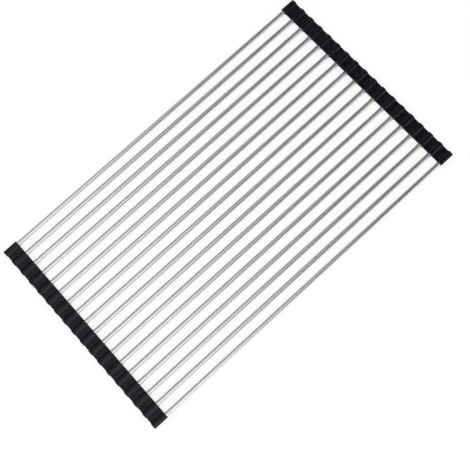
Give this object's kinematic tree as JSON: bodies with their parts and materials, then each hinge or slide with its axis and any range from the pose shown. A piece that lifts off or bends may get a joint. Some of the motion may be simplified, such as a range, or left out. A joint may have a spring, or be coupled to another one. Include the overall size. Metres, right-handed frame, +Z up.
{
  "type": "roll up dish drying rack",
  "caption": "Flexible rack of parallel round steel rods held at both ends in black silicone strips. It lies flat over a sink or worktop and rolls up for storage.",
  "frame": {"origin": "middle of the rack's underside, on the surface it lies on", "axes": "+X along the rods from the left strip to the right strip, +Y along the strips from rod 1 to the last rod, +Z up"},
  "size_m": [0.52, 0.3064, 0.0079],
  "materials": {
    "stainless_steel": "bright drawn stainless steel tube, polished along its length",
    "black_silicone": "moulded black silicone, satin"
  },
  "bodies": {
    "link_01": {"rod_01": "stainless_steel", "strip_links_01": "black_silicone"},
    "link_02": {"rod_02": "stainless_steel", "strip_links_02": "black_silicone"},
    "link_03": {"rod_03": "stainless_steel", "strip_links_03": "black_silicone"},
    "link_04": {"rod_04": "stainless_steel", "strip_links_04": "black_silicone"},
    "link_05": {"rod_05": "stainless_steel", "strip_links_05": "black_silicone"},
    "link_06": {"rod_06": "stainless_steel", "strip_links_06": "black_silicone"},
    "link_07": {"rod_07": "stainless_steel", "strip_links_07": "black_silicone"},
    "link_08": {"rod_08": "stainless_steel", "strip_links_08": "black_silicone"},
    "link_09": {"rod_09": "stainless_steel", "strip_links_09": "black_silicone"},
    "link_10": {"rod_10": "stainless_steel", "strip_links_10": "black_silicone"},
    "link_11": {"rod_11": "stainless_steel", "strip_links_11": "black_silicone"},
    "link_12": {"rod_12": "stainless_steel", "strip_links_12": "black_silicone"},
    "link_13": {"rod_13": "stainless_steel", "strip_links_13": "black_silicone"},
    "link_14": {"rod_14": "stainless_steel", "strip_links_14": "black_silicone"},
    "link_15": {"rod_15": "stainless_steel", "strip_links_15": "black_silicone"},
    "link_16": {"rod_16": "stainless_steel", "strip_links_16": "black_silicone"},
    "link_17": {"rod_17": "stainless_steel", "strip_links_17": "black_silicone"},
    "link_18": {"rod_18": "stainless_steel", "strip_links_18": "black_silicone"}
  },
  "joints": [
    {"name": "bend_01", "type": "hinge", "parent": "link_01", "child": "link_02", "pos_m": [0, -0.14, 0.0054], "axis": [1, 0, 0], "range_deg": [-28.7, 28.7], "stiffness_Nm_per_rad": 0.012},
    {"name": "bend_02", "type": "hinge", "parent": "link_02", "child": "link_03", "pos_m": [0, -0.1225, 0.0054], "axis": [1, 0, 0], "range_deg": [-29.3, 29.3], "stiffness_Nm_per_rad": 0.012},
    {"name": "bend_03", "type": "hinge", "parent": "link_03", "child": "link_04", "pos_m": [0, -0.105, 0.0054], "axis": [1, 0, 0], "range_deg": [-29.9, 29.9], "stiffness_Nm_per_rad": 0.012},
    {"name": "bend_04", "type": "hinge", "parent": "link_04", "child": "link_05", "pos_m": [0, -0.0875, 0.0054], "axis": [1, 0, 0], "range_deg": [-30.6, 30.6], "stiffness_Nm_per_rad": 0.012},
    {"name": "bend_05", "type": "hinge", "parent": "link_05", "child": "link_06", "pos_m": [0, -0.07, 0.0054], "axis": [1, 0, 0], "range_deg": [-31.3, 31.3], "stiffness_Nm_per_rad": 0.012},
    {"name": "bend_06", "type": "hinge", "parent": "link_06", "child": "link_07", "pos_m": [0, -0.0525, 0.0054], "axis": [1, 0, 0], "range_deg": [-32, 32], "stiffness_Nm_per_rad": 0.012},
    {"name": "bend_07", "type": "hinge", "parent": "link_07", "child": "link_08", "pos_m": [0, -0.035, 0.0054], "axis": [1, 0, 0], "range_deg": [-32.8, 32.8], "stiffness_Nm_per_rad": 0.012},
    {"name": "bend_08", "type": "hinge", "parent": "link_08", "child": "link_09", "pos_m": [0, -0.0175, 0.0054], "axis": [1, 0, 0], "range_deg": [-33.7, 33.7], "stiffness_Nm_per_rad": 0.012},
    {"name": "bend_09", "type": "hinge", "parent": "link_09", "child": "link_10", "pos_m": [0, 0, 0.0054], "axis": [1, 0, 0], "range_deg": [-34.7, 34.7], "stiffness_Nm_per_rad": 0.012},
    {"name": "bend_10", "type": "hinge", "parent": "link_10", "child": "link_11", "pos_m": [0, 0.0175, 0.0054], "axis": [1, 0, 0], "range_deg": [-35.7, 35.7], "stiffness_Nm_per_rad": 0.012},
    {"name": "bend_11", "type": "hinge", "parent": "link_11", "child": "link_12", "pos_m": [0, 0.035, 0.0054], "axis": [1, 0, 0], "range_deg": [-36.8, 36.8], "stiffness_Nm_per_rad": 0.012},
    {"name": "bend_12", "type": "hinge", "parent": "link_12", "child": "link_13", "pos_m": [0, 0.0525, 0.0054], "axis": [1, 0, 0], "range_deg": [-38.1, 38.1], "stiffness_Nm_per_rad": 0.012},
    {"name": "bend_13", "type": "hinge", "parent": "link_13", "child": "link_14", "pos_m": [0, 0.07, 0.0054], "axis": [1, 0, 0], "range_deg": [-39.5, 39.5], "stiffness_Nm_per_rad": 0.012},
    {"name": "bend_14", "type": "hinge", "parent": "link_14", "child": "link_15", "pos_m": [0, 0.0875, 0.0054], "axis": [1, 0, 0], "range_deg": [-41.1, 41.1], "stiffness_Nm_per_rad": 0.012},
    {"name": "bend_15", "type": "hinge", "parent": "link_15", "child": "link_16", "pos_m": [0, 0.105, 0.0054], "axis": [1, 0, 0], "range_deg": [-42.9, 42.9], "stiffness_Nm_per_rad": 0.012},
    {"name": "bend_16", "type": "hinge", "parent": "link_16", "child": "link_17", "pos_m": [0, 0.1225, 0.0054], "axis": [1, 0, 0], "range_deg": [-44.9, 44.9], "stiffness_Nm_per_rad": 0.012},
    {"name": "bend_17", "type": "hinge", "parent": "link_17", "child": "link_18", "pos_m": [0, 0.14, 0.0054], "axis": [1, 0, 0], "range_deg": [-47.3, 47.3], "stiffness_Nm_per_rad": 0.012}
  ]
}
